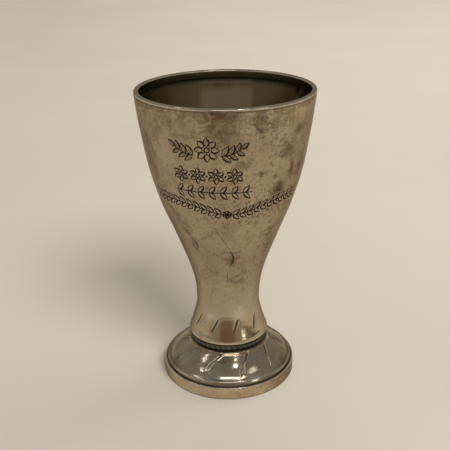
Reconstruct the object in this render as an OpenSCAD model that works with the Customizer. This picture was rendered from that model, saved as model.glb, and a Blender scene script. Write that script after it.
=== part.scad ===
// Prize cup of spun and soldered metal, with no lid and no handles.
// The origin is the centre of the underside, +Z points out of the mouth, and the
// engraved front faces -Y. Lengths are in millimetres.

/* [Cup] */
// Height from the table to the top of the mouth bead
cup_h = 120; // [114:1:126]
// Outside diameter of the mouth
mouth_d = 68.3; // [65:0.1:72]
// Outside diameter of the waist, the narrowest place
waist_d = 25.7; // [24.5:0.1:27]
// Height of the waist above the table
waist_h = 34; // [32:0.5:36]
// Thickness of the spun sheet of the bowl and the foot
sheet_t = 0.9; // [0.7:0.05:1]

/* [Mouth bead] */
// Width of the bead from its outside to its inside
bead_w = 1.9; // [1.6:0.05:2.4]
// Height of the bead, which stands on the edge of the sheet
bead_h = 3; // [2.4:0.1:3.6]
// Height of the rounded crown of the bead
bead_crown_h = 0.6; // [0.3:0.05:0.9]

/* [Calyx] */
// Outside diameter of the hem at the foot of the calyx
hem_d = 32.6; // [31:0.1:33]
// Height of the hem's flat underside above the table
hem_h = 17.9; // [17.2:0.1:19.4]
// Number of chased flutes round the calyx
flute_n = 10; // [6:1:14]
// Angle at the front of the first flute's upper end
flute_turn = 18; // [0:1:35]

/* [Bowl floor] */
// Height of the underside of the floor disc at its edge
floor_h = 36; // [35:0.5:40]
// Thickness of the floor disc
floor_t = 1; // [0.8:0.1:1.4]
// Depth to which the floor disc is dished
floor_dish = 1.2; // [0.6:0.1:1.8]

/* [Collar] */
// Outside diameter of the milled collar ring
collar_d = 32.2; // [30:0.1:32.6]
// Height of the underside of the collar ring above the table
collar_z = 15.2; // [14.6:0.1:15.8]
// Diameter of the hole through the collar ring
collar_bore_d = 22; // [20:0.5:23]
// Number of notches milled round the collar ring
notch_n = 44; // [24:1:60]

/* [Foot] */
// Outside diameter of the base band
foot_d = 54.4; // [53:0.1:56]
// Height of the base band
band_h = 5.2; // [4.4:0.1:5.6]
// Thickness of the base band
band_t = 1; // [0.8:0.05:1.3]
// Number of swirled grooves chased round the foot
swirl_n = 10; // [6:1:14]
// Angle at the front of the first swirl's upper end
swirl_turn = 27; // [0:1:35]
// Angle that a swirl turns through on its way down the foot
swirl_sweep = 15; // [5:1:25]

/* [Hidden] */
$fn = 96;

mouth_r = mouth_d / 2;
waist_r = waist_d / 2;
hem_r = hem_d / 2;
collar_r = collar_d / 2;
collar_bore_r = collar_bore_d / 2;
foot_r = foot_d / 2;
spline_n = 4;          // straight steps between two stations of a smooth outline
arc_n = 6;             // straight steps in a small rounded corner
seam_w = 0.8;          // leg of each solder fillet

// Bowl and calyx
bowl_rise = cup_h - 1 - waist_h;   // the bowl's outline is drawn over this height
sheet_top_h = cup_h - bead_h;      // the bead stands on the sheet here
sheet_top_r = mouth_r - 0.25;      // the bead flares by the rest
land_h = 0.8;                      // upright stretch of the sheet under the bead
hem_round = 0.8;                   // outside radius where the hem is turned under
flange_r = 13;                     // inside radius of the turned-under hem

// Collar and foot
collar_round = (hem_h - collar_z) / 2;   // half-round edge of the collar ring
hole_r = collar_bore_r + 1;              // hole in the top of the foot
dome_r = foot_r - band_t;                // the dome's skirt fits inside the band
dome_flat_r = collar_r - 0.8;            // flat seat on top of the foot
skirt_lap = 1.6;                         // the skirt laps the band by this much
skirt_bottom_h = band_h - skirt_lap;
skirt_top_h = band_h + 0.6;              // here the skirt rounds over into the dome
dome_fall = collar_z - band_h - skirt_lap;   // the dome's outline is drawn over this height
edge_round = 0.4;                        // softened edges of the band

// Shape of the bowl from the waist (0) to the mouth (1): [height, spread]
BOWL_SHAPE = [[0, 0], [0.094, 0.035], [0.2, 0.15], [0.353, 0.38], [0.5, 0.61], [0.66, 0.795],
              [0.83, 0.915]];
// Shape of the calyx from the hem (1) to the waist (0): [height, spread]
CALYX_SHAPE = [[0.86, 0.94], [0.76, 0.8], [0.53, 0.42], [0.26, 0.075]];
// Shape of the foot from the collar (0) to the band (1): [outward, downward]
DOME_SHAPE = [[0, 0.01], [0.26, 0.19], [0.49, 0.37], [0.71, 0.585], [0.87, 0.81], [0.97, 1.03]];

// Points of an arc about [x, y], from angle a to angle b
function arc(x, y, r, a, b) =
    [for (i = [0:arc_n]) let (t = a + (b - a) * i / arc_n) [x + r * cos(t), y + r * sin(t)]];

// One point of a smooth curve between p1 and p2
function between(p0, p1, p2, p3, t) =
    0.5 * (2 * p1 + (p2 - p0) * t + (2 * p0 - 5 * p1 + 4 * p2 - p3) * t * t
    + (3 * p1 - p0 - 3 * p2 + p3) * t * t * t);

// Smooth curve through all the points of p
function smooth(p) = concat(
    [for (i = [0:len(p) - 2]) for (k = [0:spline_n - 1])
        between(p[max(i - 1, 0)], p[i], p[i + 1], p[min(i + 2, len(p) - 1)], k / spline_n)],
    [p[len(p) - 1]]);

// Direction of an outline at its point i
function heading(p, i) = p[min(i + 1, len(p) - 1)] - p[max(i - 1, 0)];

// The outline p moved sideways by t, to its left
function beside(p, t) =
    [for (i = [0:len(p) - 1]) let (d = heading(p, i)) p[i] + t * [-d[1], d[0]] / norm(d)];

function reversed(p) = [for (i = [len(p) - 1:-1:0]) p[i]];

// Outside of the bowl and calyx, from the hole in the hem up to the bead
function bowl_outline() = concat(
    [[flange_r, hem_h]],
    arc(hem_r - hem_round, hem_h + hem_round, hem_round, -90, 0),
    smooth(concat(
        [[hem_r - 0.03, hem_h + hem_round + 0.3]],
        [for (s = CALYX_SHAPE) [waist_r + (hem_r - waist_r) * s[1], waist_h - (waist_h - hem_h) * s[0]]],
        [for (s = BOWL_SHAPE) [waist_r + (mouth_r - waist_r) * s[1], waist_h + bowl_rise * s[0]]],
        [[sheet_top_r, sheet_top_h - land_h]])),
    [[sheet_top_r, sheet_top_h]]);

// Outside of the foot, from the bottom of the skirt up to the hole under the collar
function dome_outline() = concat(
    [[dome_r, skirt_bottom_h], [dome_r, skirt_top_h]],
    reversed(smooth([for (s = DOME_SHAPE)
        [dome_flat_r + (dome_r - dome_flat_r) * s[0], collar_z - dome_fall * s[1]]])),
    [[hole_r, collar_z]]);

BOWL_OUT = bowl_outline();
BOWL_IN = beside(BOWL_OUT, sheet_t);
DOME_OUT = dome_outline();
BOWL_BY_HEIGHT = [for (p = BOWL_OUT) if (p[1] > hem_h + hem_round) [p[1], p[0]]];
DOME_BY_RADIUS = [for (p = reversed(DOME_OUT)) if (p[1] > skirt_top_h) [p[0], p[1]]];

// A place on the outside of the calyx
function on_calyx(turn, z) = let (r = lookup(z, BOWL_BY_HEIGHT)) [r * sin(turn), -r * cos(turn), z];

// A place just above the outside of the foot, so that a straight tool cuts its convex middle
function over_foot(turn, r, lift) = let (out = r + 0.5 * lift)
    [out * sin(turn), -out * cos(turn), lookup(r, DOME_BY_RADIUS) + 0.85 * lift];

// Solid of revolution of an outline
module turned(outline) {
    rotate_extrude() polygon(outline);
}

// Long thin tool from a to b, thickest halfway, that cuts one chased mark
module chased_mark(a, b, r) {
    d = b - a;
    length = norm(d);
    translate(a)
        rotate([0, acos(d[2] / length), atan2(d[1], d[0])]) {
            cylinder(h = length / 2, r1 = r / 2, r2 = r);
            translate([0, 0, length / 2])
                cylinder(h = length / 2, r1 = r, r2 = r / 2);
        }
}

// The space inside the bowl and calyx
module bowl_space() {
    inside = [for (p = BOWL_IN) if (p[1] >= hem_h + sheet_t) p];
    turned(concat([[0, inside[0][1]]], inside, [[0, inside[len(inside) - 1][1]]]));
}

// One wall of spun sheet: hem, chased calyx, waist and bowl
module bowl_shell() {
    flute_top = 28.2;
    flute_bottom = 23.2;
    flute_lean = 10;
    color([0.56, 0.50, 0.42])
        difference() {
            turned(concat(BOWL_OUT, reversed(BOWL_IN)));
            for (i = [0:flute_n - 1]) {
                turn = flute_turn + i * 360 / flute_n;
                chased_mark(on_calyx(turn, flute_top), on_calyx(turn - flute_lean, flute_bottom), 0.4);
            }
        }
}

// Stiffening bead round the mouth, crowned on top and flush with the bowl outside
module lip_bead() {
    color([0.66, 0.61, 0.53])
        turned(concat(
            [[mouth_r - bead_w, sheet_top_h], [sheet_top_r, sheet_top_h]],
            [[mouth_r, cup_h - bead_crown_h]],
            [for (i = [1:arc_n * 2 - 1]) let (t = 180 * i / (arc_n * 2))
                [mouth_r - bead_w / 2 + bead_w / 2 * cos(t), cup_h - bead_crown_h + bead_crown_h * sin(t)]],
            [[mouth_r - bead_w, cup_h - bead_crown_h]]));
}

// Solder in the corner under the bead, against the inside of the bowl
module lip_seam() {
    color([0.42, 0.39, 0.34])
        intersection() {
            turned([[mouth_r - bead_w, sheet_top_h], [sheet_top_r, sheet_top_h - seam_w],
                    [sheet_top_r, sheet_top_h]]);
            bowl_space();
        }
}

// Half the section of the dished floor, from its axis to beyond the wall
function dish(lift) = [for (i = [0:arc_n]) let (t = i / arc_n)
    [waist_r * t * 1.1, floor_h + lift - floor_dish * (1 - t * t)]];

// Disc that closes the bowl above the hollow calyx
module bowl_floor() {
    color([0.50, 0.45, 0.38])
        intersection() {
            turned(concat(dish(0), reversed(dish(floor_t))));
            bowl_space();
        }
}

// Solder under the edge of the floor
module floor_seam() {
    reach = sheet_t + seam_w;
    color([0.42, 0.39, 0.34])
        intersection() {
            difference() {
                turned([[waist_r, floor_h - reach], [waist_r, floor_h + floor_t],
                        [waist_r - 2 * reach, floor_h + floor_t], [waist_r - reach, floor_h]]);
                turned(concat(dish(0), [[waist_r * 1.1, floor_h + 2], [0, floor_h + 2]]));
            }
            bowl_space();
        }
}

// Collar between calyx and foot, with a half-round milled edge
module collar_ring() {
    notch_r = 0.45;
    color([0.30, 0.27, 0.23])
        difference() {
            turned(concat(
                [[collar_bore_r, collar_z]],
                arc(collar_r - collar_round, collar_z + collar_round, collar_round, -90, 90),
                [[collar_bore_r, hem_h]]));
            for (i = [0:notch_n - 1])
                rotate([0, 0, i * 360 / notch_n])
                    translate([collar_r + notch_r / 4, 0, collar_z - 1])
                        cylinder(h = hem_h - collar_z + 2, r = notch_r);
        }
}

// Solder between the turned-under hem and the top of the collar
module collar_upper_seam() {
    color([0.42, 0.39, 0.34])
        turned([[flange_r, hem_h], [flange_r, hem_h + seam_w], [flange_r - seam_w, hem_h]]);
}

// Solder between the collar's underside and the hole in the foot
module collar_lower_seam() {
    color([0.42, 0.39, 0.34])
        turned([[hole_r, collar_z], [hole_r - seam_w, collar_z], [hole_r, collar_z - seam_w]]);
}

// Domed foot of spun sheet with swirled grooves and an upright skirt
module foot_dome() {
    swirl_top_r = 16.5;
    swirl_bottom_r = 24.8;
    lift = 0.5;
    color([0.52, 0.47, 0.40])
        difference() {
            turned(concat(DOME_OUT, reversed(beside(DOME_OUT, sheet_t))));
            for (i = [0:swirl_n - 1]) {
                turn = swirl_turn + i * 360 / swirl_n;
                chased_mark(
                    over_foot(turn, swirl_top_r, lift),
                    over_foot(turn - swirl_sweep, swirl_bottom_r, lift), 0.55);
            }
        }
}

// Plain upright band that the cup stands on
module foot_band() {
    color([0.54, 0.48, 0.39])
        turned(concat(
            [[dome_r, 0]],
            arc(foot_r - edge_round / 2, edge_round / 2, edge_round / 2, -90, 0),
            arc(foot_r - edge_round, band_h - edge_round, edge_round, 0, 90),
            [[dome_r, band_h]]));
}

// Solder under the skirt of the foot, against the inside of the band
module foot_band_seam() {
    color([0.42, 0.39, 0.34])
        turned([[dome_r, skirt_bottom_h], [dome_r - seam_w, skirt_bottom_h],
                [dome_r, skirt_bottom_h - seam_w]]);
}

bowl_shell();
lip_bead();
lip_seam();
bowl_floor();
floor_seam();
collar_ring();
collar_upper_seam();
collar_lower_seam();
foot_dome();
foot_band();
foot_band_seam();
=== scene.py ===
import math
import random

import bmesh
import bpy
import numpy as np
from mathutils import Matrix, Vector, kdtree, noise


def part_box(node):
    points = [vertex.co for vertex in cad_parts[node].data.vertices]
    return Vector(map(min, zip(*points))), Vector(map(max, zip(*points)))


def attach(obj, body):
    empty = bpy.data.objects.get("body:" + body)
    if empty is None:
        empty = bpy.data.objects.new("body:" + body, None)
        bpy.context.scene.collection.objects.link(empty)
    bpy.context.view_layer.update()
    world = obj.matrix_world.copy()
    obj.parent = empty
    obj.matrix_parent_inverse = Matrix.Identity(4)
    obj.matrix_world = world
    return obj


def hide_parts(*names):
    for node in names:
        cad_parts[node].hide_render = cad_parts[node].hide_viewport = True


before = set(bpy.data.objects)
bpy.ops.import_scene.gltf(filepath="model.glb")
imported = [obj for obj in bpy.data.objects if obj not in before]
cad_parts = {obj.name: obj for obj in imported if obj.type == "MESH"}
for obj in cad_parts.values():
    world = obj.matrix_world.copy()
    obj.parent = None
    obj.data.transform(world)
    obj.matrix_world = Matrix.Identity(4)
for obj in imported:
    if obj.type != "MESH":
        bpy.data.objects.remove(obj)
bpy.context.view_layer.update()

MM = 0.001

# ---------------------------------------------------------------------------
# Measures in millimetres. What a node's box tells comes from the frame.
# ---------------------------------------------------------------------------


def low_mm(node):
    """The lowest corner of a node's box."""
    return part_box(node)[0] / MM


def high_mm(node):
    """The highest corner of a node's box."""
    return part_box(node)[1] / MM


def inner_radius_mm(node):
    """How near a node's surface comes to the axis."""
    return min(math.hypot(v.co.x, v.co.y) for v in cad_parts[node].data.vertices) / MM


CUP_H = high_mm("lip_bead").z
MOUTH_R = high_mm("lip_bead").x
BEAD_IN_R = inner_radius_mm("lip_bead")
SHEET_TOP_Z = low_mm("lip_bead").z
SHEET_TOP_R = high_mm("bowl_shell").x
HEM_Z = low_mm("bowl_shell").z
FLANGE_R = inner_radius_mm("bowl_shell")
COLLAR_R = high_mm("collar_ring").x
COLLAR_Z = low_mm("collar_ring").z
COLLAR_IN_R = inner_radius_mm("collar_ring")
HOLE_R = inner_radius_mm("foot_dome")
DOME_R = high_mm("foot_dome").x
SKIRT_Z = low_mm("foot_dome").z
FOOT_R = high_mm("foot_band").x
BAND_H = high_mm("foot_band").z
FLOOR_R = high_mm("bowl_floor").x
FLOOR_LOW = low_mm("bowl_floor").z
FLOOR_TOP = high_mm("bowl_floor").z

# The CAD's own dimensions that no box tells
SHEET_T = 0.9
WAIST_R = 12.85
WAIST_Z = 34.0
HEM_R = 16.3
HEM_ROUND = 0.8
FLOOR_T = 1.0
SEAM_W = 0.8

# The stations of the CAD outlines, as [height, spread] and for the foot as [outward, downward]
BOWL_SHAPE = [(0, 0), (0.094, 0.035), (0.2, 0.15), (0.353, 0.38), (0.5, 0.61), (0.66, 0.795), (0.83, 0.915)]
CALYX_SHAPE = [(0.86, 0.94), (0.76, 0.8), (0.53, 0.42), (0.26, 0.075)]
DOME_SHAPE = [(0, 0.01), (0.26, 0.19), (0.49, 0.37), (0.71, 0.585), (0.87, 0.81), (0.97, 1.03)]

# Chased ornament of the calyx and the foot. Turns are in degrees from the front towards +X.
FLUTE_TURNS = (-90, -53, -17.5, 16.5, 52.5, 90, 126, 162, 198, 234)
FLUTE_TOP_Z = 28.6
FLUTE_BOTTOM_Z = 22.9
FLUTE_LEAN = 10.0
FLUTE_MEAN_R = 14.5
FLUTE_HALF_W = 0.46
FLUTE_DEPTH = 0.36
SWIRL_TURNS = (-88, -50, -10, 27, 60, 94, 127, 162, 199, 235)
SWIRL_SWEEP = 15.5
SWIRL_IN_R = 16.5
SWIRL_OUT_R = 24.4
SWIRL_HALF_W = 0.46
SWIRL_DEPTH = 0.38
NOTCHES = 44
NOTCH_DEPTH = 0.3

# Edges that turn more sharply than this are shaded as edges
SHARP_DEG = 35

# ---------------------------------------------------------------------------
# Outlines: arrays of (radius, height) in millimetres
# ---------------------------------------------------------------------------


def between(a, b, c, d, t):
    """The place at t (0 to 1) on a smooth curve from b to c, which comes from a and goes on to d."""
    return 0.5 * (2 * b + (c - a) * t + (2 * a - 5 * b + 4 * c - d) * t**2 + (3 * b - a - 3 * c + d) * t**3)


def smooth(points, steps=24):
    """A smooth curve through the points, the same one that the CAD uses."""
    p = np.array(points, float)
    p = np.vstack([p[:1], p, p[-1:]])
    t = np.linspace(0, 1, steps, endpoint=False)[:, None]
    runs = [between(a, b, c, d, t) for a, b, c, d in zip(p, p[1:], p[2:], p[3:])]
    return np.vstack(runs + [p[-1:]])


def spaced(path, step):
    """The same path with its points about one step apart."""
    path = np.array(path, float)
    along = np.concatenate([[0], np.cumsum(np.hypot(*np.diff(path, axis=0).T))])
    s = np.linspace(0, along[-1], max(2, round(along[-1] / step) + 1))
    return np.column_stack([np.interp(s, along, path[:, k]) for k in (0, 1)])


def arc(centre, radius, start, end, count):
    """Points of an arc, with angles in degrees from the +r direction."""
    t = np.radians(np.linspace(start, end, count + 1))
    return np.column_stack([centre[0] + radius * np.cos(t), centre[1] + radius * np.sin(t)])


def beside(path, distance):
    """The path moved to its left by a distance."""
    heading = np.gradient(path, axis=0)
    left = np.column_stack([-heading[:, 1], heading[:, 0]]) / np.hypot(*heading.T)[:, None]
    return path + left * distance


def bowl_outside():
    """The outside of calyx and bowl, from just above the hem to the bead."""
    calyx = [(WAIST_R + (HEM_R - WAIST_R) * s, WAIST_Z - (WAIST_Z - HEM_Z) * h) for h, s in CALYX_SHAPE]
    bowl = [(WAIST_R + (MOUTH_R - WAIST_R) * s, WAIST_Z + (CUP_H - 1 - WAIST_Z) * h) for h, s in BOWL_SHAPE]
    start = [(HEM_R - 0.03, HEM_Z + HEM_ROUND + 0.3)]
    return smooth(start + calyx + bowl + [(SHEET_TOP_R, SHEET_TOP_Z - SHEET_T + 0.1)])


BOWL_OUT = bowl_outside()


def bowl_radius(z):
    """Radius of the outside of the bowl or calyx at a height."""
    return np.interp(z, BOWL_OUT[:, 1], BOWL_OUT[:, 0])


def dome_outside():
    """The outside of the foot, from its skirt up to the seat of the collar."""
    flat_r = COLLAR_R - 0.8
    fall = COLLAR_Z - BAND_H - 1.6
    top = smooth([(flat_r + (DOME_R - flat_r) * s[0], COLLAR_Z - fall * s[1]) for s in DOME_SHAPE])
    return np.vstack([[[DOME_R, BAND_H + 0.6]], top[::-1]])


DOME_OUT = dome_outside()

# ---------------------------------------------------------------------------
# Meshes of revolution, with relief
# ---------------------------------------------------------------------------


def in_scene(name, data):
    """A new object in the scene that shows this mesh, light or camera."""
    thing = bpy.data.objects.new(name, data)
    bpy.context.scene.collection.objects.link(thing)
    return thing


def grid_mesh(name, columns, rows):
    """A grid that closes on itself both ways. Its vertices hold (column angle, row number, 0)."""
    u = np.tile(np.arange(columns) * 2 * math.pi / columns - math.pi, rows)
    v = np.repeat(np.arange(rows), columns)
    i, j = np.meshgrid(np.arange(columns), np.arange(rows))
    right, above = (i + 1) % columns, (j + 1) % rows
    faces = np.stack([j * columns + i, j * columns + right, above * columns + right, above * columns + i], -1)
    mesh = bpy.data.meshes.new(name)
    mesh.from_pydata(np.column_stack([u, v, 0 * u]).tolist(), [], faces.reshape(-1, 4).tolist())
    return mesh


def on_section(section, v):
    """Points and outward normals of a closed section at row numbers, whole or not."""
    n = len(section)
    i = np.floor(v).astype(int)
    t = (v - i)[:, None]
    a, b, c, d = (section[(i + k) % n] for k in (-1, 0, 1, 2))
    heading = (c - a) + 2 * (2 * a - 5 * b + 4 * c - d) * t + 3 * (3 * b - a - 3 * c + d) * t**2
    outward = np.column_stack([heading[:, 1], -heading[:, 0]])
    return between(a, b, c, d, t), outward / np.maximum(np.hypot(*heading.T), 1e-9)[:, None]


def coordinates(mesh):
    """The places of a mesh's vertices, one row each."""
    co = np.empty(len(mesh.vertices) * 3)
    mesh.vertices.foreach_get("co", co)
    return co.reshape(-1, 3)


def turned(name, section, columns, relief, refine=None):
    """A ring-shaped piece: a closed section turned round the axis, with relief added to it.

    relief(u, v, r, z) gives the height of the relief in millimetres and a dictionary of
    point attributes. refine(mesh) may split the faces of the flat grid first."""
    mesh = grid_mesh(name, columns, len(section))
    if refine:
        refine(mesh)
    flat = coordinates(mesh)
    u, v = flat[:, 0], flat[:, 1]
    p, normal = on_section(section, v)
    height, marks = relief(u, v, p[:, 0], p[:, 1])
    r = p[:, 0] + normal[:, 0] * height
    z = p[:, 1] + normal[:, 1] * height
    places = np.column_stack([r * np.sin(u), -r * np.cos(u), z]) * MM
    mesh.vertices.foreach_set("co", places.ravel())
    for mark, values in marks.items():
        mesh.attributes.new(mark, "FLOAT", "POINT").data.foreach_set("value", values.astype(np.float32))
    mesh.validate()
    mesh.polygons.foreach_set("use_smooth", [True] * len(mesh.polygons))
    mesh.set_sharp_from_angle(angle=math.radians(SHARP_DEG))
    mesh.update()
    return in_scene(name, mesh)


def lumps(u, r, z, size, seed):
    """Smooth noise from -1 to 1 over the surface, with lumps of about this size in millimetres."""
    x, y = r * np.sin(u), -r * np.cos(u)
    shift = Vector((37.0 * seed, 0, 0))
    return np.array([noise.noise(Vector(point) / size + shift) for point in zip(x, y, z)])


def bump_between(x, start, full_start, full_end, end):
    """0 outside start..end, 1 from full_start to full_end, smooth in between."""
    rise = np.clip((x - start) / (full_start - start), 0, 1)
    fall = np.clip((end - x) / (end - full_end), 0, 1)
    both = np.minimum(rise, fall)
    return both * both * (3 - 2 * both)


def crest(x, centre, half_width):
    """1 at a centre, falling straight to 0 at half_width from it."""
    return np.clip(1 - np.abs(x - centre) / half_width, 0, 1)


def turn_from(u, turn):
    """Angle of each point past a turn, between minus and plus half a circle, in radians."""
    return (u - turn + math.pi) % (2 * math.pi) - math.pi


# ---------------------------------------------------------------------------
# Engraving. Strokes are drawn in millimetres, x to the right and y up, then laid on the bowl.
# ---------------------------------------------------------------------------


class Engraving:
    """Samples of engraved strokes on the bowl: angle, height, half width, depth and darkness."""

    sample_gap = 0.07

    def __init__(self):
        self.rows = []

    def stroke(self, points, lay, half_width, thin=0.4, depth=0.22, dark=1.0):
        """One cut, widest in its middle. lay turns the (x, y) of a point into (angle, height)."""
        path = spaced(points, self.sample_gap)
        t = np.linspace(0, 1, len(path))
        swell = thin + (1 - thin) * np.sin(math.pi * t) ** 0.6
        for (x, y), k in zip(path, swell):
            turn, z = lay(x, y)
            self.rows.append((turn, z, half_width * k, depth * k, dark))

    def tree(self):
        """A search tree of the samples in space, and their half widths, depths and darkness."""
        rows = np.array(self.rows)
        r = bowl_radius(rows[:, 1])
        tree = kdtree.KDTree(len(rows))
        for k, (turn, z, radius) in enumerate(zip(rows[:, 0], rows[:, 1], r)):
            tree.insert((radius * math.sin(turn), -radius * math.cos(turn), z), k)
        tree.balance()
        return tree, rows[:, 2], rows[:, 3], rows[:, 4]


def flat_lay(turn_deg, height):
    """Lays a motif upright on the bowl, round a centre."""
    def lay(x, y):
        z = height + y
        return math.radians(turn_deg) + x / float(bowl_radius(z)), z
    return lay


def turned_about(point, angle, origin):
    """A point turned by an angle and carried to an origin."""
    c, s = math.cos(angle), math.sin(angle)
    return origin[0] + point[0] * c - point[1] * s, origin[1] + point[0] * s + point[1] * c


def leaf(cuts, lay, at, angle, length, width, vein=True):
    """A pointed leaf: a thick and a thin curved edge, and a vein."""
    t = np.linspace(0, 1, 11)
    bulge = width / 2 * np.sin(math.pi * t**0.8)
    for side, half_width in ((1, 0.24), (-1, 0.4)):
        edge = [turned_about((length * a, side * b), angle, at) for a, b in zip(t, bulge)]
        cuts.stroke(edge, lay, half_width)
    if vein:
        middle = [turned_about((length * a, 0), angle, at) for a in (0.05, 0.7)]
        cuts.stroke(middle, lay, half_width=0.17, depth=0.1, dark=0.7)


def ring(cuts, lay, at, radius):
    """A small engraved ring."""
    t = np.linspace(0, 2 * math.pi, 25)
    path = [(at[0] + radius * math.cos(a), at[1] + radius * math.sin(a)) for a in t]
    cuts.stroke(path, lay, half_width=0.3, thin=0.9)


def dot(cuts, lay, at):
    """A punched dot."""
    cuts.stroke([(at[0] - 0.08, at[1]), (at[0] + 0.08, at[1])], lay, half_width=0.45, thin=0.95)


def rosette(cuts, lay, at, radius, petals):
    """A flower: pointed petals round a ring, the first one upright."""
    ring(cuts, lay, at, radius * 0.2)
    for k in range(petals):
        angle = math.radians(90 + k * 360 / petals)
        base = turned_about((radius * 0.32, 0), angle, at)
        leaf(cuts, lay, base, angle, radius * 0.68, radius * 0.45, vein=False)


def mirrored(angle, side):
    """The angle itself on the right, and its mirror image on the left, where side is -1."""
    return angle if side > 0 else math.pi - angle


def spray(cuts, lay, side, start, length, rise, pairs):
    """A laurel branch that rises to one side, with leaves above and below its stem."""
    def stem(t):
        return side * (start + length * t), rise * t * t - 2.2

    cuts.stroke([stem(t) for t in np.linspace(0, 1, 9)], lay, half_width=0.3)
    for k in range(pairs):
        t = (k + 0.3) / pairs
        for turn, reach in ((58, 4.6), (-38, 3.9)):
            angle = math.radians(turn + 14 * t)
            grow = reach * (1 - 0.25 * t)
            leaf(cuts, lay, stem(t), mirrored(angle, side), grow, grow * 0.42)
    leaf(cuts, lay, stem(1), mirrored(math.radians(40), side), 3.4, 1.3)


def leaf_row(cuts, lay, length, count, reach):
    """A straight stem with pairs of leaves."""
    stem = [(x, 0) for x in np.linspace(-length / 2, length / 2, 30)]
    cuts.stroke(stem, lay, half_width=0.24, thin=0.8)
    for k in range(count):
        x = length * ((k + 0.5) / count - 0.5)
        for turn in (52, -52):
            leaf(cuts, lay, (x - reach * 0.3, 0), math.radians(turn), reach, reach * 0.42, vein=False)


def garland(cuts, reach_deg, pairs):
    """A garland that hangs round the front, its leaves pointing to both sides."""
    radius = 27.5
    end_z = 83.6
    sag = 4.4

    def line(turn_deg):
        """Height of the garland at an angle in degrees."""
        return end_z - sag * math.exp(-(((turn_deg - 3) / 26) ** 2))

    def lay(x, y):
        turn = x / radius
        return turn, line(math.degrees(turn)) + y

    reach = math.radians(reach_deg) * radius
    cuts.stroke([(x, 0) for x in np.linspace(-reach, reach, 60)], lay, half_width=0.26, thin=0.8)
    for side in (1, -1):
        for k in range(pairs):
            x = side * (2.2 + (reach - 3.4) * k / (pairs - 1))
            for turn in (42, -42):
                leaf(cuts, lay, (x, 0), mirrored(math.radians(turn), side), 3.3, 1.4, vein=False)
    rosette(cuts, lay, (0, 0), radius=1.9, petals=6)


def creases(cuts):
    """Old creases of the sheet in the narrow part, and a few scratches."""
    radius = 17.0
    # Points as (turn in degrees, height), half width and darkness
    marks = (
        ([(-13, 74.5), (-6, 68.5), (0.4, 63.6), (3.7, 61.4)], 0.34, 0.32),
        ([(2.5, 62.2), (5, 60.3), (6.3, 58.7), (6.3, 56.6), (4.6, 55.2), (1.5, 54.2)], 0.55, 0.62),
        ([(0.2, 51.4), (-0.8, 48.6), (0.2, 45.2)], 0.34, 0.35),
        ([(-9, 60.2), (-2, 61), (5, 60.6), (13, 60.9)], 0.38, 0.3),
        ([(-46, 72), (-41, 69.3), (-38.4, 66.6)], 0.42, 0.5),
        ([(-44, 68), (-40.5, 69.6), (-36, 70.4)], 0.34, 0.4),
        ([(-38.4, 66.6), (-35, 65.2), (-33.6, 63.2), (-35.4, 61.2)], 0.48, 0.55),
        ([(27, 67), (22, 65), (18, 62.5)], 0.3, 0.25),
        ([(34, 51), (29, 49.2)], 0.36, 0.3),
    )
    for points, half_width, dark in marks:
        path = smooth([(math.radians(turn) * radius, z) for turn, z in points], 8)
        cuts.stroke(path, lambda x, z: (x / radius, z), half_width, thin=0.2, depth=0.09, dark=dark)


def engrave():
    """Every engraved motif of the cup's front."""
    cuts = Engraving()
    top = flat_lay(-12, 105.2)
    for side in (1, -1):
        spray(cuts, top, side, start=4.6, length=7.6, rise=2.6, pairs=3)
    rosette(cuts, top, (0, 0), radius=4.6, petals=8)
    flowers = flat_lay(-13, 95.2)
    gap = 6.6
    for k in range(4):
        rosette(cuts, flowers, ((k - 1.5) * gap, 0), radius=3.2, petals=6)
    for k in range(3):
        dot(cuts, flowers, ((k - 1) * gap, 0))
    leaf_row(cuts, flat_lay(-10, 88.6), length=28.5, count=7, reach=3.5)
    garland(cuts, reach_deg=62, pairs=11)
    creases(cuts)
    return cuts


CUTS, CUT_WIDTHS, CUT_DEPTHS, CUT_DARKNESS = engrave().tree()


def nearest_cut(x, y, z):
    """Distance to the nearest engraved sample for each point, and that sample's number."""
    found = [CUTS.find(p) for p in zip(x, y, z)]
    return np.array([f[2] for f in found]), np.array([f[1] for f in found])


# ---------------------------------------------------------------------------
# The bowl with its calyx
# ---------------------------------------------------------------------------

CALYX_TOP_Z = 31.0
ENGRAVED_LOW = 44.0
ENGRAVED_HIGH = 112.5
ENGRAVED_TURN = 1.5


def bowl_section():
    """The closed section of the bowl's wall, and the number of its rows that lie outside."""
    calyx = BOWL_OUT[BOWL_OUT[:, 1] <= CALYX_TOP_Z]
    bowl = BOWL_OUT[BOWL_OUT[:, 1] > CALYX_TOP_Z]
    outside = np.vstack([
        spaced([(FLANGE_R, HEM_Z), (HEM_R - HEM_ROUND - 0.1, HEM_Z)], 0.7),
        arc((HEM_R - HEM_ROUND, HEM_Z + HEM_ROUND), HEM_ROUND, -90, 0, 7),
        spaced(calyx, 0.3),
        spaced(bowl, 1.1)[1:],
        [[SHEET_TOP_R, SHEET_TOP_Z]],
    ])
    inner = beside(BOWL_OUT, SHEET_T)
    inner = inner[inner[:, 1] > HEM_Z + 2 * SHEET_T]
    inside = np.vstack([
        [[SHEET_TOP_R - SHEET_T, SHEET_TOP_Z]],
        spaced(inner[::-1], 2.2),
        [[HEM_R - SHEET_T - 0.2, HEM_Z + SHEET_T]],
        [[FLANGE_R, HEM_Z + SHEET_T]],
    ])
    return np.vstack([outside, inside]), len(outside)


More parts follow.
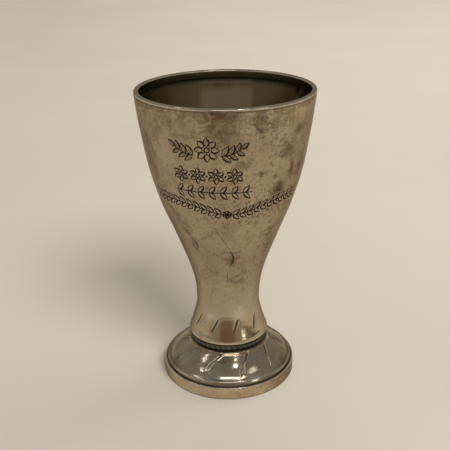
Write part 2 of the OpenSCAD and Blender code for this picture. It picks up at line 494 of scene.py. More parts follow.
def split_near_cuts(section, outside_rows):
    """Returns a function that splits the grid's faces near the engraving, three times over."""
    def may_be_cut(face):
        on_outside = max(v.co.y for v in face.verts) < outside_rows
        return on_outside and max(abs(v.co.x) for v in face.verts) < ENGRAVED_TURN

    def refine(mesh):
        bm = bmesh.new()
        bm.from_mesh(mesh)
        for reach in (1.0, 0.6, 0.35):
            faces = [face for face in bm.faces if may_be_cut(face)]
            middles = np.array([face.calc_center_median()[:2] for face in faces])
            p, _ = on_section(section, middles[:, 1])
            level = np.flatnonzero((p[:, 1] > ENGRAVED_LOW) & (p[:, 1] < ENGRAVED_HIGH))
            u, r, z = middles[level, 0], p[level, 0], p[level, 1]
            away, _ = nearest_cut(r * np.sin(u), -r * np.cos(u), z)
            near = {edge for k in level[away < reach] for edge in faces[k].edges}
            bmesh.ops.subdivide_edges(bm, edges=list(near), cuts=1, use_grid_fill=True)
        bm.to_mesh(mesh)
        bm.free()
    return refine


def engraved_relief(u, r, z, outside):
    """Depth of the engraving, how dark its cuts are, and the raised metal along them, which is also painted
    lighter as a painted highlight.
    """
    height, ink, burr_and_glint = np.zeros((3, len(u)))
    level = (z > ENGRAVED_LOW) & (z < ENGRAVED_HIGH)
    near = np.flatnonzero(outside & level & (np.abs(u) < ENGRAVED_TURN + 0.1))
    x, y = r[near] * np.sin(u[near]), -r[near] * np.cos(u[near])
    away, which = nearest_cut(x, y, z[near])
    across = away / CUT_WIDTHS[which]
    inside = np.clip(1 - across, 0, 1)
    # The raised metal beside each cut, painted lighter as a painted highlight.
    burr_and_glint[near] = crest(across, 1.3, 0.3) * CUT_DARKNESS[which]
    height[near] = -CUT_DEPTHS[which] * inside**0.8 + 0.02 * burr_and_glint[near]
    ink[near] = np.clip(2.4 * inside, 0, 1) * CUT_DARKNESS[which]
    return height, ink, burr_and_glint


def along_mark(u, z, turn_deg, r):
    """Position along (0 top, 1 bottom) and distance across a slanting calyx mark, in millimetres."""
    tall = FLUTE_TOP_Z - FLUTE_BOTTOM_Z
    lean = math.radians(FLUTE_LEAN)
    t = (FLUTE_TOP_Z - z) / tall
    across = turn_from(u, math.radians(turn_deg) - lean * t)
    slant = math.cos(math.atan(lean * FLUTE_MEAN_R / tall))
    return t, across * r * slant


def flute_relief(u, r, z, outside):
    """The chased marks of the calyx: a deep cut, a ridge beside it and a finer line."""
    height, ink, ridges = np.zeros((3, len(u)))
    rng = random.Random(12)
    for turn in FLUTE_TURNS:
        t, across = along_mark(u, z, turn, r)
        long = 1 + rng.uniform(-0.12, 0.12)
        body = bump_between(t, -0.06, 0.25, 0.75 * long, 1.08 * long) * outside
        short = bump_between(t, 0.05, 0.35, 0.6, 0.92 * long) * outside
        cut = crest(across, 0, FLUTE_HALF_W) * body
        line = crest(across, centre=1.3, half_width=0.26) * short
        ridge = crest(across, centre=0.75, half_width=0.45) * body
        height += -FLUTE_DEPTH * cut - 0.14 * line + 0.12 * ridge
        ink = np.maximum(ink, np.clip(1.7 * cut, 0, 1) * 0.95 + np.clip(1.5 * line, 0, 1) * 0.6)
        ridges = np.maximum(ridges, ridge)
    return height, np.clip(ink, 0, 1), ridges


# Tarnish stains, those of the front first; the first, high on the front, is a painted dark reflection. Each
# is a soft spot: its turn in degrees, its height, half width and half height in mm, and its strength.
STAINS_AND_DARK_REFLECTION = (
    (-7, 113, 7.5, 6, 0.3), (-36, 114.5, 11, 5, 0.36), (-50, 108, 4, 6, 0.3), (38, 115, 8, 4, 0.33),
    (21, 115.5, 3, 1.6, 0.7), (44, 102.6, 3.6, 3.4, 0.65), (50, 94, 1.7, 4.5, 0.75),
    (39.5, 87.6, 3.2, 3, 0.95), (21.5, 111.7, 1.4, 1.1, 0.8), (23.5, 95.2, 0.9, 1.6, 0.85),
    (35, 93.4, 1, 1.6, 0.6), (52, 109.5, 2.6, 2.2, 0.85),
    (5, 57.2, 1.5, 3.2, 0.75), (-36, 64.5, 2, 3, 0.6), (-41, 69.5, 2.6, 2.2, 0.5),
    (10, 99.4, 3.4, 2.2, 0.55), (-47, 76, 3, 4, 0.5), (-39, 72.5, 2.5, 3, 0.55), (60, 95, 4, 7, 0.45),
    (-62, 100, 5, 9, 0.35), (-70, 62, 4, 7, 0.35), (47, 66, 3, 6, 0.4), (4, 58, 4, 3, 0.4),
    (22, 48, 5, 6, 0.25), (105, 106, 8, 6, 0.5), (140, 88, 6, 9, 0.45), (172, 112, 9, 5, 0.5),
    (-160, 98, 7, 6, 0.45), (-118, 84, 6, 10, 0.4), (-98, 110, 6, 4, 0.5), (155, 60, 5, 8, 0.4),
    (-140, 55, 5, 6, 0.4), (90, 72, 5, 7, 0.35),
)

# Soft spots of painted highlight on the calyx
PAINTED_HIGHLIGHTS = (
    (-34, 29, 2.6, 1.8, 0.5), (16, 30.6, 3.2, 3.2, 0.42), (24, 33, 0.9, 0.5, 0.9), (21, 31.8, 0.4, 0.6, 0.9),
)


def spotted(u, r, z, spots):
    """How strongly the soft spots of a list show at each point."""
    total = np.zeros(len(u))
    for turn, height, wide, tall, strength in spots:
        across = turn_from(u, math.radians(turn)) * r / wide
        up = (z - height) / tall
        total = np.maximum(total, strength * np.exp(-(across**2 + up**2)))
    return total


def shade_under_bead(u, r, z):
    """Painted shade: the black band under the mouth bead on the inside, with a ragged lower edge."""
    right_back = np.clip(np.cos(u - 2.0), 0, 1) ** 2
    left_back = np.clip(np.cos(u + 2.4), 0, 1) ** 2
    thick = 1.4 + 1.7 * right_back + 1.1 * left_back
    ragged = 0.25 * np.sin(5 * u) + 1.1 * lumps(u, r, 0.6 * z, 3.5, 12)
    return np.clip((z - SHEET_TOP_Z + thick + ragged) / 0.6, 0, 1)


def inner_side_shade(u, r, z):
    """Painted shade inside the bowl, darker towards its sides, which leaves a lighter strip at the back."""
    half_strip = 18
    from_back = 180 - np.abs(np.degrees(u)) + 3 * lumps(u, r, 0.3 * z, 6, 13)
    return 0.22 * np.clip((from_back - half_strip) / 3, 0, 1)


def bowl_relief(outside_rows):
    """Relief of the whole wall: hand-made unevenness, creases, chased marks and engraving."""
    def relief(u, v, r, z):
        outside = v < outside_rows
        calm = bump_between(z, HEM_Z + 1, HEM_Z + 8, SHEET_TOP_Z - 8, SHEET_TOP_Z - 0.5)
        wobble = lumps(u, r, z, 17, 1) * 0.11 + lumps(u, r, z, 7, 2) * 0.035
        inside = ~outside & (z > FLOOR_TOP)
        hammer = lumps(u, r, z, 9, 3) * 0.03 * inside
        left_side = bump_between(np.degrees(u), -75, -58, -42, -22)
        flutes, flute_ink, ridges = flute_relief(u, r, z, outside)
        cuts, cut_ink, burr_and_glint = engraved_relief(u, r, z, outside)
        # Painted shade and dirt under the hem's roll: the dark line below the hem.
        shade_under_hem = np.clip((HEM_Z + 0.3 - z) / 0.3, 0, 1)
        low_part = 0.8 * bump_between(z, HEM_Z - 1, HEM_Z, 28, 52)
        # A painted highlight along the hem's rolled edge.
        hem_roll_highlight = bump_between(z, HEM_Z + 0.1, HEM_Z + 0.35, HEM_Z + 0.7, HEM_Z + 1.1) * outside
        flare = np.interp(z - HEM_Z, (0.9, 3.2, 4.2, 11), (0, -0.27, -0.28, 0)) * outside
        # Painted highlights on the calyx.
        calyx_highlights = spotted(u, r, z, PAINTED_HIGHLIGHTS) * outside
        # Painted shade inside the bowl, darker towards its sides and under the mouth bead; elsewhere the
        # inside is lighter metal, most in a strip at the back.
        film = inner_side_shade(u, r, z)
        inside_brightening = (0.95 - 2 * film) * inside
        inner_shade = np.maximum(shade_under_bead(u, r, z), film) * inside
        marks = {
            "ink": np.maximum.reduce([flute_ink, cut_ink, shade_under_hem, inner_shade]),
            "wear": np.maximum.reduce([ridges * 0.7, burr_and_glint * 0.5, hem_roll_highlight * 0.95, inside_brightening, calyx_highlights]),
            "stain": spotted(u, r, z, STAINS_AND_DARK_REFLECTION) * outside,
            "polish": np.maximum(low_part, 0.35 * left_side) * outside + inside,
        }
        return (wobble + hammer) * calm + flare + flutes + cuts, marks
    return relief


def make_bowl():
    """The wall of bowl and calyx, on a grid that is split near the engraving."""
    section, outside_rows = bowl_section()
    splitter = split_near_cuts(section, outside_rows)
    return turned("bowl", section, columns=232, relief=bowl_relief(outside_rows), refine=splitter)


# ---------------------------------------------------------------------------
# The other pieces
# ---------------------------------------------------------------------------


def make_bead():
    """The mouth bead: a flat-topped ring with rounded edges, slightly uneven from hand filing."""
    soft = 0.55
    filed_off = 0.12
    outer_r = MOUTH_R - 0.015
    section = np.vstack([
        spaced([(BEAD_IN_R, SHEET_TOP_Z), (SHEET_TOP_R, SHEET_TOP_Z)], 0.5),
        spaced([(SHEET_TOP_R, SHEET_TOP_Z), (outer_r, CUP_H - 0.9)], 0.3)[1:-1],
        arc((outer_r - soft, CUP_H - soft - filed_off), soft, 0, 78, 7),
        arc((BEAD_IN_R + soft, CUP_H - soft - filed_off), soft, 102, 180, 7),
        spaced([(BEAD_IN_R, CUP_H - 0.9), (BEAD_IN_R, SHEET_TOP_Z)], 0.4)[1:-1],
    ])
    middle = (MOUTH_R + BEAD_IN_R) / 2

    def relief(u, v, r, z):
        filed = bump_between(z, SHEET_TOP_Z + 1, SHEET_TOP_Z + 2, CUP_H, CUP_H + 1)
        uneven = (np.abs(lumps(u, r, z, 16, 4)) + np.abs(lumps(u, r, z, 5, 5)) * 0.15) * filed
        groove = crest(z, CUP_H - 1.25, 0.25) * (r > middle)
        inner_side = np.clip((middle - r) / 0.5, 0, 1) * np.clip((CUP_H - 0.55 - z) / 0.3, 0, 1)
        top = bump_between(z, CUP_H - 0.95, CUP_H - 0.5, CUP_H, CUP_H + 1)
        marks = {
            "ink": np.maximum(groove * 0.6, inner_side * 0.42),
            "wear": top,
            "stain": 0.3 + 0 * u,
            "polish": np.maximum(top, inner_side),
        }
        return -0.03 * uneven - 0.1 * groove, marks

    return turned("mouth_bead", section, columns=480, relief=relief)


def make_floor_disc():
    """The dished floor disc, with faint rings from spinning."""
    dish = FLOOR_TOP - FLOOR_LOW - FLOOR_T
    r = np.linspace(0.02, 1, 22)
    lower = np.column_stack([FLOOR_R * r, FLOOR_LOW + dish * r * r])
    upper = lower[::-1] + [0, FLOOR_T]
    section = np.vstack([lower, upper])

    def relief(u, v, r, z):
        rings = np.sin(r * 2 * math.pi / 0.9) * 0.015 * (v >= len(lower)) * (r < FLOOR_R - 0.3)
        rim = np.clip((r - FLOOR_R + 1.5) / 1.5, 0, 1)
        return rings, {"ink": rim * 0.7, "stain": 0.6 + 0 * u}

    return turned("bowl_floor_disc", section, columns=144, relief=relief)


def make_collar():
    """The collar: a half-round ring with slanting milled notches."""
    half = (HEM_Z - COLLAR_Z) / 2
    centre = (COLLAR_R - half, COLLAR_Z + half)
    section = np.vstack([
        spaced([(COLLAR_IN_R, COLLAR_Z), (centre[0], COLLAR_Z)], 0.8)[:-1],
        arc(centre, half, -90, 90, 40),
        spaced([(centre[0], HEM_Z), (COLLAR_IN_R, HEM_Z)], 0.8)[1:],
        [[COLLAR_IN_R, COLLAR_Z + half]],
    ])

    def relief(u, v, r, z):
        tilt = (z - centre[1]) / half
        wave = u * NOTCHES + 0.9 * tilt + 0.25 * lumps(u, r, 0 * z, 6, 6)
        swell = np.abs(np.cos(wave / 2)) ** 0.55
        milled = np.clip((r - centre[0]) / half, 0, 1) ** 0.5
        grime = (1 - swell) * milled
        # Painted shade and dirt in the crevices where the collar meets the hem and the foot.
        crevice_shade = np.clip((np.abs(tilt) - 0.55) / 0.4, 0, 1)
        ink = np.maximum(np.clip(grime * 0.6, 0, 1), crevice_shade)
        return -NOTCH_DEPTH * (1 - swell) * milled - 0.01, {"ink": ink}

    return turned("milled_collar", section, columns=NOTCHES * 16, relief=relief)


def swirl_position(u, r):
    """Where a point lies between two swirled grooves (0 to 1), and its distance from the nearer one."""
    t = (r - SWIRL_IN_R) / (SWIRL_OUT_R - SWIRL_IN_R)
    bend = SWIRL_SWEEP * (t + 0.22 * np.sin(math.pi * np.clip(t, 0, 1)))
    turn = (np.degrees(u) + bend - SWIRL_TURNS[0]) % 360
    edges = np.array([edge - SWIRL_TURNS[0] for edge in SWIRL_TURNS] + [360.0])
    k = np.clip(np.searchsorted(edges, turn, side="right") - 1, 0, len(edges) - 2)
    gap = edges[k + 1] - edges[k]
    share = (turn - edges[k]) / gap
    nearer = np.minimum(share, 1 - share) * np.radians(gap) * r
    return share, nearer


def foot_marks(u, r, z, top, cut, ridge, rolled):
    """Where grime, worn metal with painted highlights, and stains lie on the foot. It is darker and browner
    towards its sides than at its front.
    """
    towards_sides = bump_between(np.abs(u), 0.6, 1.1, 4, 5)
    collar_dirt = 0.8 * np.clip((COLLAR_R + 0.25 - r) / 0.6, 0, 1) * top
    rim_dirt = 0.7 * np.clip((r - DOME_R + 0.3) / 0.3, 0, 1) * (z < BAND_H + 2.2)
    cut_dirt = 0.9 * np.clip((1.6 + 1.8 * towards_sides) * cut, 0, 1)
    edge_darkening = 0.4 * bump_between(r, DOME_R - 2.6, DOME_R - 1.2, DOME_R, DOME_R + 1) * towards_sides * top
    side_darkening = 0.6 * np.clip(lumps(u, r, z, 5, 32), 0, 0.5) * towards_sides * top
    patches = np.clip(lumps(u, r, z, 7, 31) + 0.1, 0, 1) * towards_sides
    near_collar = bump_between(r, 15, 15.5, 16.6, 18.5)
    return {
        "ink": np.maximum.reduce([cut_dirt, collar_dirt, rim_dirt, edge_darkening, side_darkening]),
        # Painted highlights on the ridge beside each groove and on the dome's rolled edge, the latter
        # strongest at the front.
        "wear": np.maximum(ridge * 0.8, rolled * 0.7 * (1 - 0.7 * towards_sides)),
        "stain": np.clip(1.1 * patches + 0.35 * near_collar, 0, 1) * top,
    }


def make_dome():
    """The foot: convex lobes between swirled grooves, and an upright skirt inside the band."""
    outside = np.vstack([
        spaced([(DOME_R, SKIRT_Z), (DOME_R, BAND_H + 0.55)], 0.5),
        spaced(DOME_OUT, 0.17),
        spaced([(COLLAR_R - 0.9, COLLAR_Z), (HOLE_R, COLLAR_Z)], 0.7),
    ])
    inside = np.vstack([
        [[HOLE_R, COLLAR_Z - SHEET_T]],
        spaced(beside(DOME_OUT, SHEET_T)[::-1], 1.2),
        [[DOME_R - SHEET_T, SKIRT_Z]],
    ])

    def relief(u, v, r, z):
        top = v < len(outside)
        share, nearer = swirl_position(u, r)
        zone = bump_between(r, 15.2, 17.6, 22.6, 25.8) * top
        lobes = 0.16 * (4 * share * (1 - share)) ** 0.6 - 0.16
        fade = bump_between(r, SWIRL_IN_R - 0.5, SWIRL_IN_R + 1.2, SWIRL_OUT_R - 1.8, SWIRL_OUT_R + 0.6) * top
        side = np.where(share < 0.5, nearer, -nearer)
        cut = crest(nearer, 0, SWIRL_HALF_W) * fade
        ridge = crest(side, centre=0.95, half_width=0.55) * fade
        dip = -0.55 * bump_between(r, COLLAR_R - 0.1, COLLAR_R + 1.4, DOME_R - 1.1, DOME_R - 0.35) * top
        dip -= 0.15 * bump_between(r, COLLAR_R + 0.7, COLLAR_R + 3.5, DOME_R - 3.5, DOME_R - 0.8) * top
        rolled = bump_between(r, DOME_R - 1.05, DOME_R - 0.75, DOME_R - 0.6, DOME_R - 0.3) * top
        wobble = lumps(u, r, z, 8, 7) * 0.03 * bump_between(r, 15.5, 18, 24.5, 26)
        height = lobes * zone - SWIRL_DEPTH * cut + 0.22 * ridge + dip + 0.12 * rolled + wobble * top
        return height, foot_marks(u, r, z, top, cut, ridge, rolled)

    return turned("swirled_foot", np.vstack([outside, inside]), columns=640, relief=relief)


def make_band():
    """The base band, with softened edges and small knocks."""
    soft = 0.4
    section = np.vstack([
        spaced([(DOME_R, 0), (FOOT_R - soft / 2, 0)], 0.3)[:-1],
        arc((FOOT_R - soft / 2, soft / 2), soft / 2, -90, 0, 4),
        spaced([(FOOT_R, soft / 2), (FOOT_R, BAND_H - soft)], 0.25)[1:-1],
        arc((FOOT_R - soft, BAND_H - soft), soft, 0, 90, 7),
        [[DOME_R + 0.12, BAND_H], [DOME_R, BAND_H - 0.08]],
        spaced([(DOME_R, BAND_H - 0.5), (DOME_R, 0.4)], 0.6),
    ])

    def relief(u, v, r, z):
        outer = r > FOOT_R - 0.3
        knocks = np.clip(lumps(u, r, z, 3.2, 8) - 0.35, 0, 1) * 0.16
        knocks += np.abs(lumps(u, r, z, 13, 9)) * 0.05
        dirt = np.clip((DOME_R + 0.35 - r) / 0.35, 0, 1) * (z > BAND_H - 1) * 0.8
        # Painted contact shadow: the band darker along its foot, where it stands on the floor.
        foot = np.clip((0.55 - z) / 0.4, 0, 1) * 0.6
        # A painted highlight along the band's top edge.
        edge = bump_between(z, BAND_H - 0.5, BAND_H - 0.15, BAND_H, BAND_H + 1) * (r > DOME_R + 0.4)
        around = np.degrees(u)
        marks = {
            "ink": np.maximum(dirt, foot),
            # The band's top edge carries a painted highlight, and its left part is painted a little lighter,
            # as painted light.
            "wear": np.maximum(edge, 0.2 * bump_between(around, -75, -50, -35, -10)),
            # The band's right part is painted darker, as painted shade.
            "stain": 0.45 * bump_between(around, 25, 45, 80, 120),
        }
        return -knocks * outer * (z > 0.3), marks

    return turned("base_band", section, columns=420, relief=relief)


def make_seam(name, corner, radial, upright, seed):
    """A run of solder: a slightly hollow, uneven fillet in a corner between two pieces.

    radial and upright say how far it reaches from the corner, and to which side."""
    a, b = np.array(corner, float), np.array(corner, float)
    a[0] += radial
    b[1] += upright
    t = np.linspace(0, 1, 7)[1:-1, None]
    hollow = a + (b - a) * t
    hollow += (np.array(corner) - hollow) * 0.25 * np.sin(math.pi * t)
    section = np.vstack([[corner], [a], hollow, [b]])
    if radial * upright < 0:
        section = section[::-1]

    def relief(u, v, r, z):
        off = np.hypot(r - corner[0], z - corner[1]) > 0.1
        return -np.abs(lumps(u, r, z, 1.8, seed)) * 0.12 * off, {"ink": 0.6 + 0 * u}

    return turned(name, section, columns=240, relief=relief)


# ---------------------------------------------------------------------------
# Materials
# ---------------------------------------------------------------------------


def set_stops(ramp, stops):
    """Gives a colour ramp its stops: a position with a colour or a grey, in rising order."""
    elements = ramp.color_ramp.elements
    while len(elements) < len(stops):
        elements.new(0.5)
    for element, (position, colour) in zip(elements, stops):
        grey = isinstance(colour, (int, float))
        element.position = position
        element.color = (colour, colour, colour, 1) if grey else (*colour, 1)


class Shader:
    """A material under construction. Its values are (node, output) pairs, numbers or colours."""

    def __init__(self, name):
        self.material = bpy.data.materials.new(name)
        self.material.use_nodes = True
        self.tree = self.material.node_tree
        self.tree.nodes.clear()
        out = self.add("ShaderNodeOutputMaterial")
        self.bsdf = self.add("ShaderNodeBsdfPrincipled")
        self.give((self.bsdf, "BSDF"), out.inputs["Surface"])
        self.place = (self.add("ShaderNodeTexCoord"), "Object")

    def give(self, value, socket):
        """Leads a (node, output) pair into a socket, or sets the socket to a number or colour."""
        if isinstance(value, tuple) and isinstance(value[0], bpy.types.Node):
            node, output = value
            self.tree.links.new(node.outputs[output], socket)
        elif socket.type == "RGBA":
            socket.default_value = (*value, 1)
        else:
            socket.default_value = value

    def add(self, kind, settings=None, **inputs):
        """Makes a node with these settings and inputs."""
        node = self.tree.nodes.new(kind)
        for key, value in (settings or {}).items():
            setattr(node, key, value)
        for key, value in inputs.items():
            self.give(value, node.inputs[key])
        return node

    def noise(self, scale, detail, roughness, distortion=0.0, stretch=None):
        """Noise fixed to the piece, stretched where asked."""
        place = self.place
        if stretch:
            place = (self.add("ShaderNodeMapping", Vector=place, Scale=stretch), "Vector")
        sizes = {"Scale": scale, "Detail": detail, "Roughness": roughness, "Distortion": distortion}
        return self.add("ShaderNodeTexNoise", Vector=place, **sizes), "Fac"

    def attribute(self, name):
        """A mark that the mesh carries at its points."""
        return self.add("ShaderNodeAttribute", {"attribute_name": name}), "Fac"

    def ramp(self, value, stops):
        """A colour ramp over a value."""
        node = self.add("ShaderNodeValToRGB", Fac=value)
        set_stops(node, stops)
        return node, "Color"

    def mix(self, factor, a, b, blend="MIX"):
        """Mixes two colours."""
        node = self.add("ShaderNodeMix", {"data_type": "RGBA", "blend_type": blend})
        for value, index in ((factor, 0), (a, 6), (b, 7)):
            self.give(value, node.inputs[index])
        return node, 2

    def math(self, operation, *values):
        """One sum of two or three values."""
        node = self.add("ShaderNodeMath", {"operation": operation})
        for value, socket in zip(values, node.inputs):
            self.give(value, socket)
        return node, "Value"

    def feed(self, value, socket):
        """Gives the shader one of its inputs."""
        self.give(value, self.bsdf.inputs[socket])


# Colours of worn metal and painted highlights, of brown grime in cuts and painted shade, and of olive grime
# in the groove round the foot and painted shade at the band's foot
BARE_METAL_AND_HIGHLIGHT = (0.72, 0.66, 0.56)
BROWN_GRIME_AND_SHADE = (0.042, 0.026, 0.013)
OLIVE_GRIME_AND_SHADE = (0.065, 0.055, 0.032)


def film_colour(s, light, warm, tarnish, stain):
    """The film on the metal, which drifts between two colours, with its stains."""
    drift = s.ramp(s.noise(62, 6, 0.62, 1.1), [(0.34, 0.0), (0.50, 0.55), (0.66, 1.0)])
    soaked = s.math("MULTIPLY_ADD", stain, 0.42, s.noise(210, 8, 0.74, 1.3))
    stains = s.ramp(soaked, [(0.54, 0.0), (0.62, 0.40), (0.90, 1.0)])
    return s.mix(stains, s.mix(drift, light, warm), tarnish)


def metal_roughness(s, rough, smooth_metal, ink):
    """Roughness: uneven on dull metal, low where it is smooth, and more in grime."""
    uneven = s.ramp(s.noise(190, 6, 0.65), [(0.3, rough[0]), (0.7, rough[1])])
    smoothed = s.mix(smooth_metal, uneven, (0.11, 0.11, 0.11))
    return s.math("MULTIPLY_ADD", ink, 0.35, smoothed)


def metal_bump(s, pits, pitted, dull):
    """Fine upright scratches, and pits where the metal is pitted. Both are fainter on smooth metal."""
    scratches = s.noise(420, 3, 0.6, 0.2, stretch=(1.0, 1.0, 0.06))
    surface = s.mix(pitted, scratches, s.mix(0.35, pits, scratches))
    depth = s.math("MULTIPLY_ADD", dull, 0.5, 0.1)
    return s.add("ShaderNodeBump", Distance=0.00006, Strength=depth, Height=surface), "Normal"


def metal(name, light, warm, tarnish, rough, pitting=0.7, grime=BROWN_GRIME_AND_SHADE):
    """Old silvery metal. light and warm are the two colours that its film drifts between, tarnish
    is the colour of its stains, rough its least and most roughness, and grime lies in the cuts and in painted
    shade.

    The mesh marks grime together with painted shade, worn metal together with painted highlights,
    stains together with painted shade and a painted dark reflection, and polish (smooth metal)."""
    s = Shader(name)
    ink, wear, stain, polish = (s.attribute(mark) for mark in ("ink", "wear", "stain", "polish"))
    smooth_metal = s.math("MAXIMUM", polish, wear)
    dull = s.math("SUBTRACT", 1.0, smooth_metal)
    colour = film_colour(s, light, warm, tarnish, stain)
    specks = s.ramp(s.noise(620, 5, 0.78, 0.9), [(0.57, 0.0), (0.65, 1.0)])
    crust = s.math("MULTIPLY", specks, s.math("MULTIPLY", dull, pitting))
    crust_colour = tuple(0.55 * part for part in tarnish)
    colour = s.mix(crust, colour, crust_colour)
    zones = s.ramp(s.noise(40, 3, 0.5), [(0.46, 0.06), (0.62, 1.0)])
    pits = s.ramp(s.noise(950, 5, 0.7, 0.5), [(0.36, 0.0), (0.47, 0.85), (0.55, 1.0), (0.70, 1.35)])
    pitted = s.math("MULTIPLY", s.math("MULTIPLY", zones, pitting), dull)
    colour = s.mix(pitted, colour, s.mix(1.0, colour, pits, "MULTIPLY"))
    colour = s.mix(s.math("MULTIPLY", polish, 0.2), colour, BARE_METAL_AND_HIGHLIGHT)
    colour = s.mix(wear, colour, BARE_METAL_AND_HIGHLIGHT)
    s.feed(s.mix(ink, colour, grime), "Base Color")
    s.feed(1.0, "Metallic")
    s.feed((0.52, 0.50, 0.46), "Specular Tint")
    s.feed(metal_roughness(s, rough, smooth_metal, ink), "Roughness")
    s.feed(metal_bump(s, pits, pitted, dull), "Normal")
    return s.material


def finish_piece(piece, material, node):
    """Gives a piece its material and its place in the frame."""
    piece.data.materials.append(material)
    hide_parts(node)
    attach(piece, "root")


# ---------------------------------------------------------------------------
# Floor, lights and camera
# ---------------------------------------------------------------------------

WARM_LIGHT = (1.0, 0.97, 0.91)


def make_floor_plane():
    """A plain pale floor, with painted light that makes it lighter towards +X and +Y, and a painted shadow
    that makes it a little darker just in front of the cup.
    """
    half = 4.0
    corners = [(-half, -half, 0), (half, -half, 0), (half, half, 0), (-half, half, 0)]
    mesh = bpy.data.meshes.new("floor")
    mesh.from_pydata(corners, [], [(0, 1, 2, 3)])
    floor = in_scene("floor", mesh)
    s = Shader("pale_floor")
    paper = s.ramp(s.noise(6, 3, 0.5), [(0.3, (0.625, 0.57, 0.51)), (0.7, (0.652, 0.597, 0.533))])
    split = s.add("ShaderNodeSeparateXYZ", Vector=s.place)
    # Painted light: the floor lighter towards +X and a little towards +Y.
    light_slope = s.math("ADD", s.math("ADD", (split, "X"), 0.5), s.math("MULTIPLY", (split, "Y"), 0.15))
    lit_paper = s.mix(1.0, paper, s.ramp(light_slope, [(0.36, 0.99), (0.66, 1.12)]), "MULTIPLY")
    # Painted shadow: a soft darker spot on the floor just in front of the cup.
    near = s.add("ShaderNodeMapping", Vector=s.place, Location=(0, 1.0, 0), Scale=(14, 14, 14))
    spot = s.add("ShaderNodeTexGradient", {"gradient_type": "SPHERICAL"}, Vector=(near, "Vector"))
    front_shadow = s.ramp((spot, "Fac"), [(0.0, 1.0), (0.8, 0.93)])
    s.feed(s.mix(1.0, lit_paper, front_shadow, "MULTIPLY"), "Base Color")
    s.feed(0.9, "Roughness")
    s.feed(0.1, "Specular IOR Level")
    mesh.materials.append(s.material)


def soft_light(name, place, size, strength, aim=(0, 0, 0), colour=WARM_LIGHT, shape="RECTANGLE"):
    """A soft light at a place in millimetres, pointed at another; strength is its brightness."""
    data = bpy.data.lights.new(name, "AREA")
    data.shape = shape
    data.size = size[0] * MM
    if shape == "RECTANGLE":
        data.size_y = size[1] * MM
    area = size[0] * size[1] * MM * MM
    data.energy = strength * area * math.pi
    data.color = colour
    light = in_scene(name, data)
    light.location = Vector(place) * MM
    light.rotation_mode = "QUATERNION"
    light.rotation_quaternion = (Vector(aim) - Vector(place)).to_track_quat("-Z", "Y")
    return light


def sun(name, direction, spread, strength):
    """Even light over the whole floor from a wide soft source, which the metal doesn't mirror."""
    data = bpy.data.lights.new(name, "SUN")
    data.angle = math.radians(spread)
    data.energy = strength
    data.color = WARM_LIGHT
    light = in_scene(name, data)
    light.rotation_mode = "QUATERNION"
    light.rotation_quaternion = Vector(direction).to_track_quat("Z", "Y")
    light.visible_glossy = False


def from_angles(azimuth, elevation, distance):
    """A place in millimetres seen from the cup: azimuth from the front towards +X, in degrees."""
    a = math.radians(azimuth)
    e = math.radians(elevation)
    level = distance * math.cos(e)
    return level * math.sin(a), -level * math.cos(a), distance * math.sin(e)


# Colour of the room by direction, from level (0) to straight up (1)
ROOM = (
    (0.0, (0.64, 0.58, 0.47)),
    (0.06, (0.61, 0.55, 0.44)),
    (0.10, (0.34, 0.305, 0.235)),
    (0.5, (0.25, 0.23, 0.185)),
    (1.0, (0.20, 0.19, 0.17)),
)


def make_world():
    """A plain room: bright all round near the floor, darker overhead."""
    world = bpy.data.worlds.new("studio")
    world.use_nodes = True
    tree = world.node_tree
    place = tree.nodes.new("ShaderNodeTexCoord")
    split = tree.nodes.new("ShaderNodeSeparateXYZ")
    ramp = tree.nodes.new("ShaderNodeValToRGB")
    tree.links.new(place.outputs["Generated"], split.inputs["Vector"])
    tree.links.new(split.outputs["Z"], ramp.inputs["Fac"])
    tree.links.new(ramp.outputs["Color"], tree.nodes["Background"].inputs["Color"])
    set_stops(ramp, ROOM)
    bpy.context.scene.world = world


def card(name, corners, colour):
    """A flat shape that the metal mirrors and the camera doesn't see."""
    mesh = bpy.data.meshes.new(name)
    mesh.from_pydata([Vector(corner) * MM for corner in corners], [], [tuple(range(len(corners)))])
    piece = in_scene(name, mesh)
    s = Shader(name)
    s.feed((0, 0, 0), "Base Color")
    s.feed(0.0, "Specular IOR Level")
    s.feed(colour, "Emission Color")
    s.feed(1.0, "Emission Strength")
    mesh.materials.append(s.material)
    piece.visible_camera = False
    piece.visible_shadow = False
    piece.visible_diffuse = False


# Cards that face the cup from in front: distance, outline as (x, z) in millimetres, and colour
FRONT_CARDS = {
    "dark_thing": (200, ((-95, 20), (41, 20), (44, 36), (24, 84), (-66, 84), (-98, 36)), (0.25, 0.165, 0.11)),
    "dark_step": (200, ((-93, 12), (40, 12), (41, 20), (-95, 20)), (0.31, 0.23, 0.17)),
    "low_wall": (380, ((-650, 0), (-650, 52), (700, 52), (700, 0)), (0.33, 0.29, 0.22)),
    "red_thing": (600, ((-240, 56), (185, 60), (170, 430), (-200, 400)), (0.25, 0.165, 0.125)),
}


def make_surroundings():
    """What the metal mirrors besides the room: four cards in front and a wall at the right."""
    for name, (away, outline, colour) in FRONT_CARDS.items():
        card(name, [(x, -away, z) for x, z in outline], colour)
    near, far, tall = (552, -431), (689, 122), 90
    wall = [(*near, 0), (*far, 0), (*far, tall), (*near, tall)]
    card("right_wall", wall, (0.22, 0.20, 0.14))


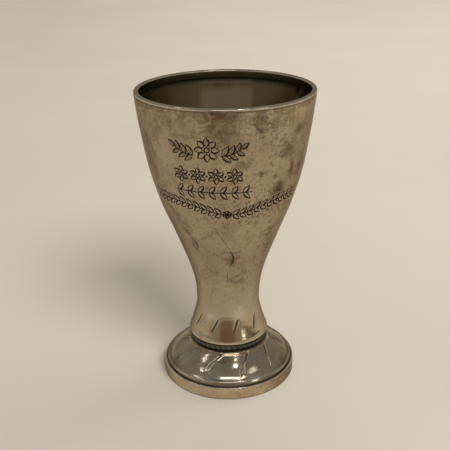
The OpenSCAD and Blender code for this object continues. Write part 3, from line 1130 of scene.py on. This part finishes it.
def make_lights():
    """Two suns and a side light that the metal doesn't mirror, and the lamps that it does."""
    sun("key", (0.50, -0.88, 1.0), 30, 1.95)
    sun("fill", (0.5, 0.3, 1.0), 90, 0.42)
    side = soft_light("side", (1100, 700, 1000), (800, 800), 2.4, aim=(480, 350, 0))
    side.visible_glossy = False
    soft_light("front_tube", (180, -1420, 1500), (1400, 260), 3.5)
    soft_light("left_lamp", from_angles(-66, 53, 1600), (280, 60), 3.5)
    soft_light("back_lamp", from_angles(-104, 61, 1600), (380, 60), 3.5)
    soft_light("right_lamp", from_angles(60, 54, 1600), (420, 260), 1.0)
    soft_light("lamp", (278, -345, 1500), (100, 100), 12.0, aim=(0, 0, 10), shape="DISK")
    daylight = (1.0, 0.95, 0.86)
    window = soft_light("window", from_angles(44, 7.5, 900), (150, 60), 4.0, aim=(0, 0, 20), colour=daylight)
    window.visible_diffuse = False


def make_camera():
    """The camera stands in front of the cup, a little above it, and looks down at it."""
    data = bpy.data.cameras.new("camera")
    data.sensor_width = 36.0
    data.lens = 61.4
    data.clip_start = 0.01
    camera = in_scene("camera", data)
    place = Vector((-0.83, -283.2, 182.7)) * MM
    look_down = 22.7
    lean = -0.89
    tilt = Matrix.Rotation(math.radians(90 - look_down), 4, "X")
    roll = Matrix.Rotation(math.radians(lean), 4, "Z")
    camera.matrix_world = Matrix.Translation(place) @ tilt @ roll
    bpy.context.scene.camera = camera


# ---------------------------------------------------------------------------
# The whole cup
# ---------------------------------------------------------------------------


def make_metals():
    """The finishes of the cup by name: sheet, foot, band, collar and solder."""
    return {
        "sheet": metal(
            "aged_bowl_metal", (0.47, 0.405, 0.27), (0.385, 0.29, 0.21), (0.14, 0.10, 0.055),
            rough=(0.19, 0.32),
        ),
        "foot": metal(
            "foot_metal", (0.62, 0.57, 0.48), (0.57, 0.475, 0.385), (0.42, 0.30, 0.20),
            rough=(0.10, 0.17), pitting=0.1, grime=OLIVE_GRIME_AND_SHADE,
        ),
        "band": metal(
            "band_metal", (0.56, 0.51, 0.34), (0.55, 0.375, 0.285), (0.22, 0.17, 0.10),
            rough=(0.2, 0.32), pitting=0.25, grime=OLIVE_GRIME_AND_SHADE,
        ),
        "collar": metal(
            "collar_metal", (0.18, 0.18, 0.14), (0.14, 0.135, 0.10), (0.07, 0.065, 0.05),
            rough=(0.30, 0.45), pitting=0.6,
        ),
        "solder": metal(
            "solder_metal", (0.34, 0.31, 0.27), (0.25, 0.21, 0.16), (0.12, 0.10, 0.08),
            rough=(0.4, 0.6), pitting=0.6,
        ),
    }


def make_seams(solder):
    """The five runs of solder, each in its corner."""
    wall_r = SHEET_TOP_R - SHEET_T
    seams = (
        ("bead_solder", (wall_r, SHEET_TOP_Z), BEAD_IN_R - wall_r, -0.7, "lip_seam"),
        ("floor_solder", (FLOOR_R - 0.02, FLOOR_TOP - FLOOR_T), -SEAM_W, -SEAM_W, "floor_seam"),
        ("upper_collar_solder", (FLANGE_R, HEM_Z), -SEAM_W, SEAM_W, "collar_upper_seam"),
        ("lower_collar_solder", (HOLE_R, COLLAR_Z), -SEAM_W, -SEAM_W, "collar_lower_seam"),
        ("band_solder", (DOME_R, SKIRT_Z), -SEAM_W, -SEAM_W, "foot_band_seam"),
    )
    for seed, (name, corner, radial, upright, node) in enumerate(seams, 20):
        finish_piece(make_seam(name, corner, radial, upright, seed), solder, node)


def make_cup():
    """Every piece of the cup, with its finish."""
    metals = make_metals()
    finish_piece(make_bowl(), metals["sheet"], "bowl_shell")
    finish_piece(make_bead(), metals["sheet"], "lip_bead")
    finish_piece(make_floor_disc(), metals["sheet"], "bowl_floor")
    finish_piece(make_collar(), metals["collar"], "collar_ring")
    finish_piece(make_dome(), metals["foot"], "foot_dome")
    finish_piece(make_band(), metals["band"], "foot_band")
    make_seams(metals["solder"])


make_camera()
make_floor_plane()
make_world()
make_lights()
make_surroundings()
make_cup()
bpy.context.scene.view_settings.view_transform = "Standard"
